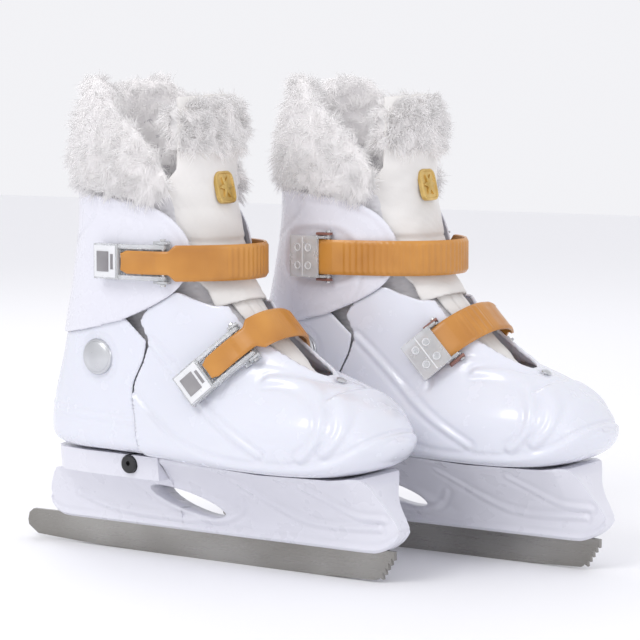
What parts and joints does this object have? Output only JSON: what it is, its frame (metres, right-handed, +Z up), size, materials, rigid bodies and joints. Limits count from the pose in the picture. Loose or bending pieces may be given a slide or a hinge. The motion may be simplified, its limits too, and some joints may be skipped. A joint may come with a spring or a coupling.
{
  "type": "pair of ice skates",
  "caption": "Pair of hard-shell ice skates with fur-trimmed liners, hinged cuffs, ribbed straps in ratchet buckles, and steel blades with toe picks in plastic holders.",
  "frame": {"origin": "centre of the bounding box at the level of the ice, under the two blades", "axes": "+Z up, toes towards -Y, right skate on the -X side, left skate on the +X side"},
  "size_m": [0.2218, 0.399, 0.3175],
  "materials": {
    "blade_steel": "brushed stainless steel blade",
    "holder_plastic": "satin white plastic",
    "shell_plastic": "glossy white plastic",
    "rivet_metal": "satin silver",
    "liner_fabric": "padded pale textile",
    "insole_foam": "grey textile over foam",
    "tongue_leather": "smooth white leatherette",
    "fur": "white long-pile faux fur",
    "spring_steel": "bright wire",
    "button_plastic": "matte black",
    "clear_plastic": "clear moulded plastic",
    "pin_steel": "plated steel",
    "strap_plastic": "satin ochre plastic",
    "anchor_base_plastic": "dark translucent plastic"
  },
  "bodies": {
    "right_chassis": {"right_blade": "blade_steel", "right_blade_holder": "holder_plastic", "right_front_shell": "shell_plastic", "right_toe_rivet": "rivet_metal", "right_lower_buckle_base": "clear_plastic", "right_lower_buckle_pin": "pin_steel", "right_lower_strap": "strap_plastic", "right_lower_anchor_base": "anchor_base_plastic", "right_lower_anchor_pin": "pin_steel"},
    "right_heel": {"right_heel_shell": "shell_plastic", "right_heel_base": "holder_plastic", "right_liner_boot": "liner_fabric", "right_insole": "insole_foam", "right_tongue_lower": "tongue_leather", "right_ankle_rivet_lateral": "rivet_metal", "right_ankle_rivet_medial": "rivet_metal", "right_size_spring": "spring_steel"},
    "right_size_button": {"right_size_button": "button_plastic"},
    "right_cuff": {"right_cuff": "shell_plastic", "right_liner_collar": "fur", "right_tongue_upper": "tongue_leather", "right_upper_buckle_base": "clear_plastic", "right_upper_buckle_pin": "pin_steel", "right_upper_strap": "strap_plastic", "right_upper_anchor_base": "anchor_base_plastic", "right_upper_anchor_pin": "pin_steel"},
    "right_upper_buckle_lever": {"right_upper_buckle_lever": "clear_plastic"},
    "right_upper_anchor_lever": {"right_upper_anchor_lever": "clear_plastic"},
    "right_lower_buckle_lever": {"right_lower_buckle_lever": "clear_plastic"},
    "right_lower_anchor_lever": {"right_lower_anchor_lever": "clear_plastic"},
    "left_chassis": {"left_blade": "blade_steel", "left_blade_holder": "holder_plastic", "left_front_shell": "shell_plastic", "left_toe_rivet": "rivet_metal", "left_lower_buckle_base": "clear_plastic", "left_lower_buckle_pin": "pin_steel", "left_lower_strap": "strap_plastic", "left_lower_anchor_base": "anchor_base_plastic", "left_lower_anchor_pin": "pin_steel"},
    "left_heel": {"left_heel_shell": "shell_plastic", "left_heel_base": "holder_plastic", "left_liner_boot": "liner_fabric", "left_insole": "insole_foam", "left_tongue_lower": "tongue_leather", "left_ankle_rivet_lateral": "rivet_metal", "left_ankle_rivet_medial": "rivet_metal", "left_size_spring": "spring_steel"},
    "left_size_button": {"left_size_button": "button_plastic"},
    "left_cuff": {"left_cuff": "shell_plastic", "left_liner_collar": "fur", "left_tongue_upper": "tongue_leather", "left_upper_buckle_base": "clear_plastic", "left_upper_buckle_pin": "pin_steel", "left_upper_strap": "strap_plastic", "left_upper_anchor_base": "anchor_base_plastic", "left_upper_anchor_pin": "pin_steel"},
    "left_upper_buckle_lever": {"left_upper_buckle_lever": "clear_plastic"},
    "left_upper_anchor_lever": {"left_upper_anchor_lever": "clear_plastic"},
    "left_lower_buckle_lever": {"left_lower_buckle_lever": "clear_plastic"},
    "left_lower_anchor_lever": {"left_lower_anchor_lever": "clear_plastic"}
  },
  "joints": [
    {"name": "right_size_slide", "type": "slide", "parent": "right_chassis", "child": "right_heel", "axis": [0, 1, 0], "range_m": [0, 0.02]},
    {"name": "right_size_button_press", "type": "slide", "parent": "right_heel", "child": "right_size_button", "axis": [1, 0, 0], "range_m": [0, 0.003], "stiffness_N_per_m": 600},
    {"name": "right_cuff_hinge", "type": "hinge", "parent": "right_heel", "child": "right_cuff", "pos_m": [-0.0555, 0.1035, 0.1365], "axis": [1, 0, 0], "range_deg": [0, 5]},
    {"name": "right_upper_buckle_hinge", "type": "hinge", "parent": "right_cuff", "child": "right_upper_buckle_lever", "pos_m": [-0.10258, 0.04335, 0.2015], "axis": [0, 0, 1], "range_deg": [0, 95]},
    {"name": "right_upper_anchor_hinge", "type": "hinge", "parent": "right_cuff", "child": "right_upper_anchor_lever", "pos_m": [-0.00553, 0.07556, 0.2015], "axis": [0, 0, -1], "range_deg": [0, 90]},
    {"name": "right_lower_buckle_hinge", "type": "hinge", "parent": "right_chassis", "child": "right_lower_buckle_lever", "pos_m": [-0.08653, -0.00914, 0.1517], "axis": [0, 0.6896, 0.7242], "range_deg": [0, 95]},
    {"name": "right_lower_anchor_hinge", "type": "hinge", "parent": "right_chassis", "child": "right_lower_anchor_lever", "pos_m": [-0.02483, -0.00636, 0.14906], "axis": [0, -0.6896, -0.7242], "range_deg": [0, 90]},
    {"name": "left_size_slide", "type": "slide", "parent": "left_chassis", "child": "left_heel", "axis": [0, 1, 0], "range_m": [0, 0.02]},
    {"name": "left_size_button_press", "type": "slide", "parent": "left_heel", "child": "left_size_button", "axis": [-1, 0, 0], "range_m": [0, 0.003], "stiffness_N_per_m": 600},
    {"name": "left_cuff_hinge", "type": "hinge", "parent": "left_heel", "child": "left_cuff", "pos_m": [0.0555, 0.0155, 0.1365], "axis": [1, 0, 0], "range_deg": [0, 5]},
    {"name": "left_upper_buckle_hinge", "type": "hinge", "parent": "left_cuff", "child": "left_upper_buckle_lever", "pos_m": [0.10258, -0.04465, 0.2015], "axis": [0, 0, -1], "range_deg": [0, 95]},
    {"name": "left_upper_anchor_hinge", "type": "hinge", "parent": "left_cuff", "child": "left_upper_anchor_lever", "pos_m": [0.00553, -0.01244, 0.2015], "axis": [0, 0, 1], "range_deg": [0, 90]},
    {"name": "left_lower_buckle_hinge", "type": "hinge", "parent": "left_chassis", "child": "left_lower_buckle_lever", "pos_m": [0.08653, -0.09714, 0.1517], "axis": [0, -0.6896, -0.7242], "range_deg": [0, 95]},
    {"name": "left_lower_anchor_hinge", "type": "hinge", "parent": "left_chassis", "child": "left_lower_anchor_lever", "pos_m": [0.02483, -0.09436, 0.14906], "axis": [0, 0.6896, 0.7242], "range_deg": [0, 90]},
    {"name": "pair_apart", "type": "slide", "parent": "right_chassis", "child": "left_chassis", "axis": [1, 0, 0], "range_m": [0, 0.2]}
  ]
}
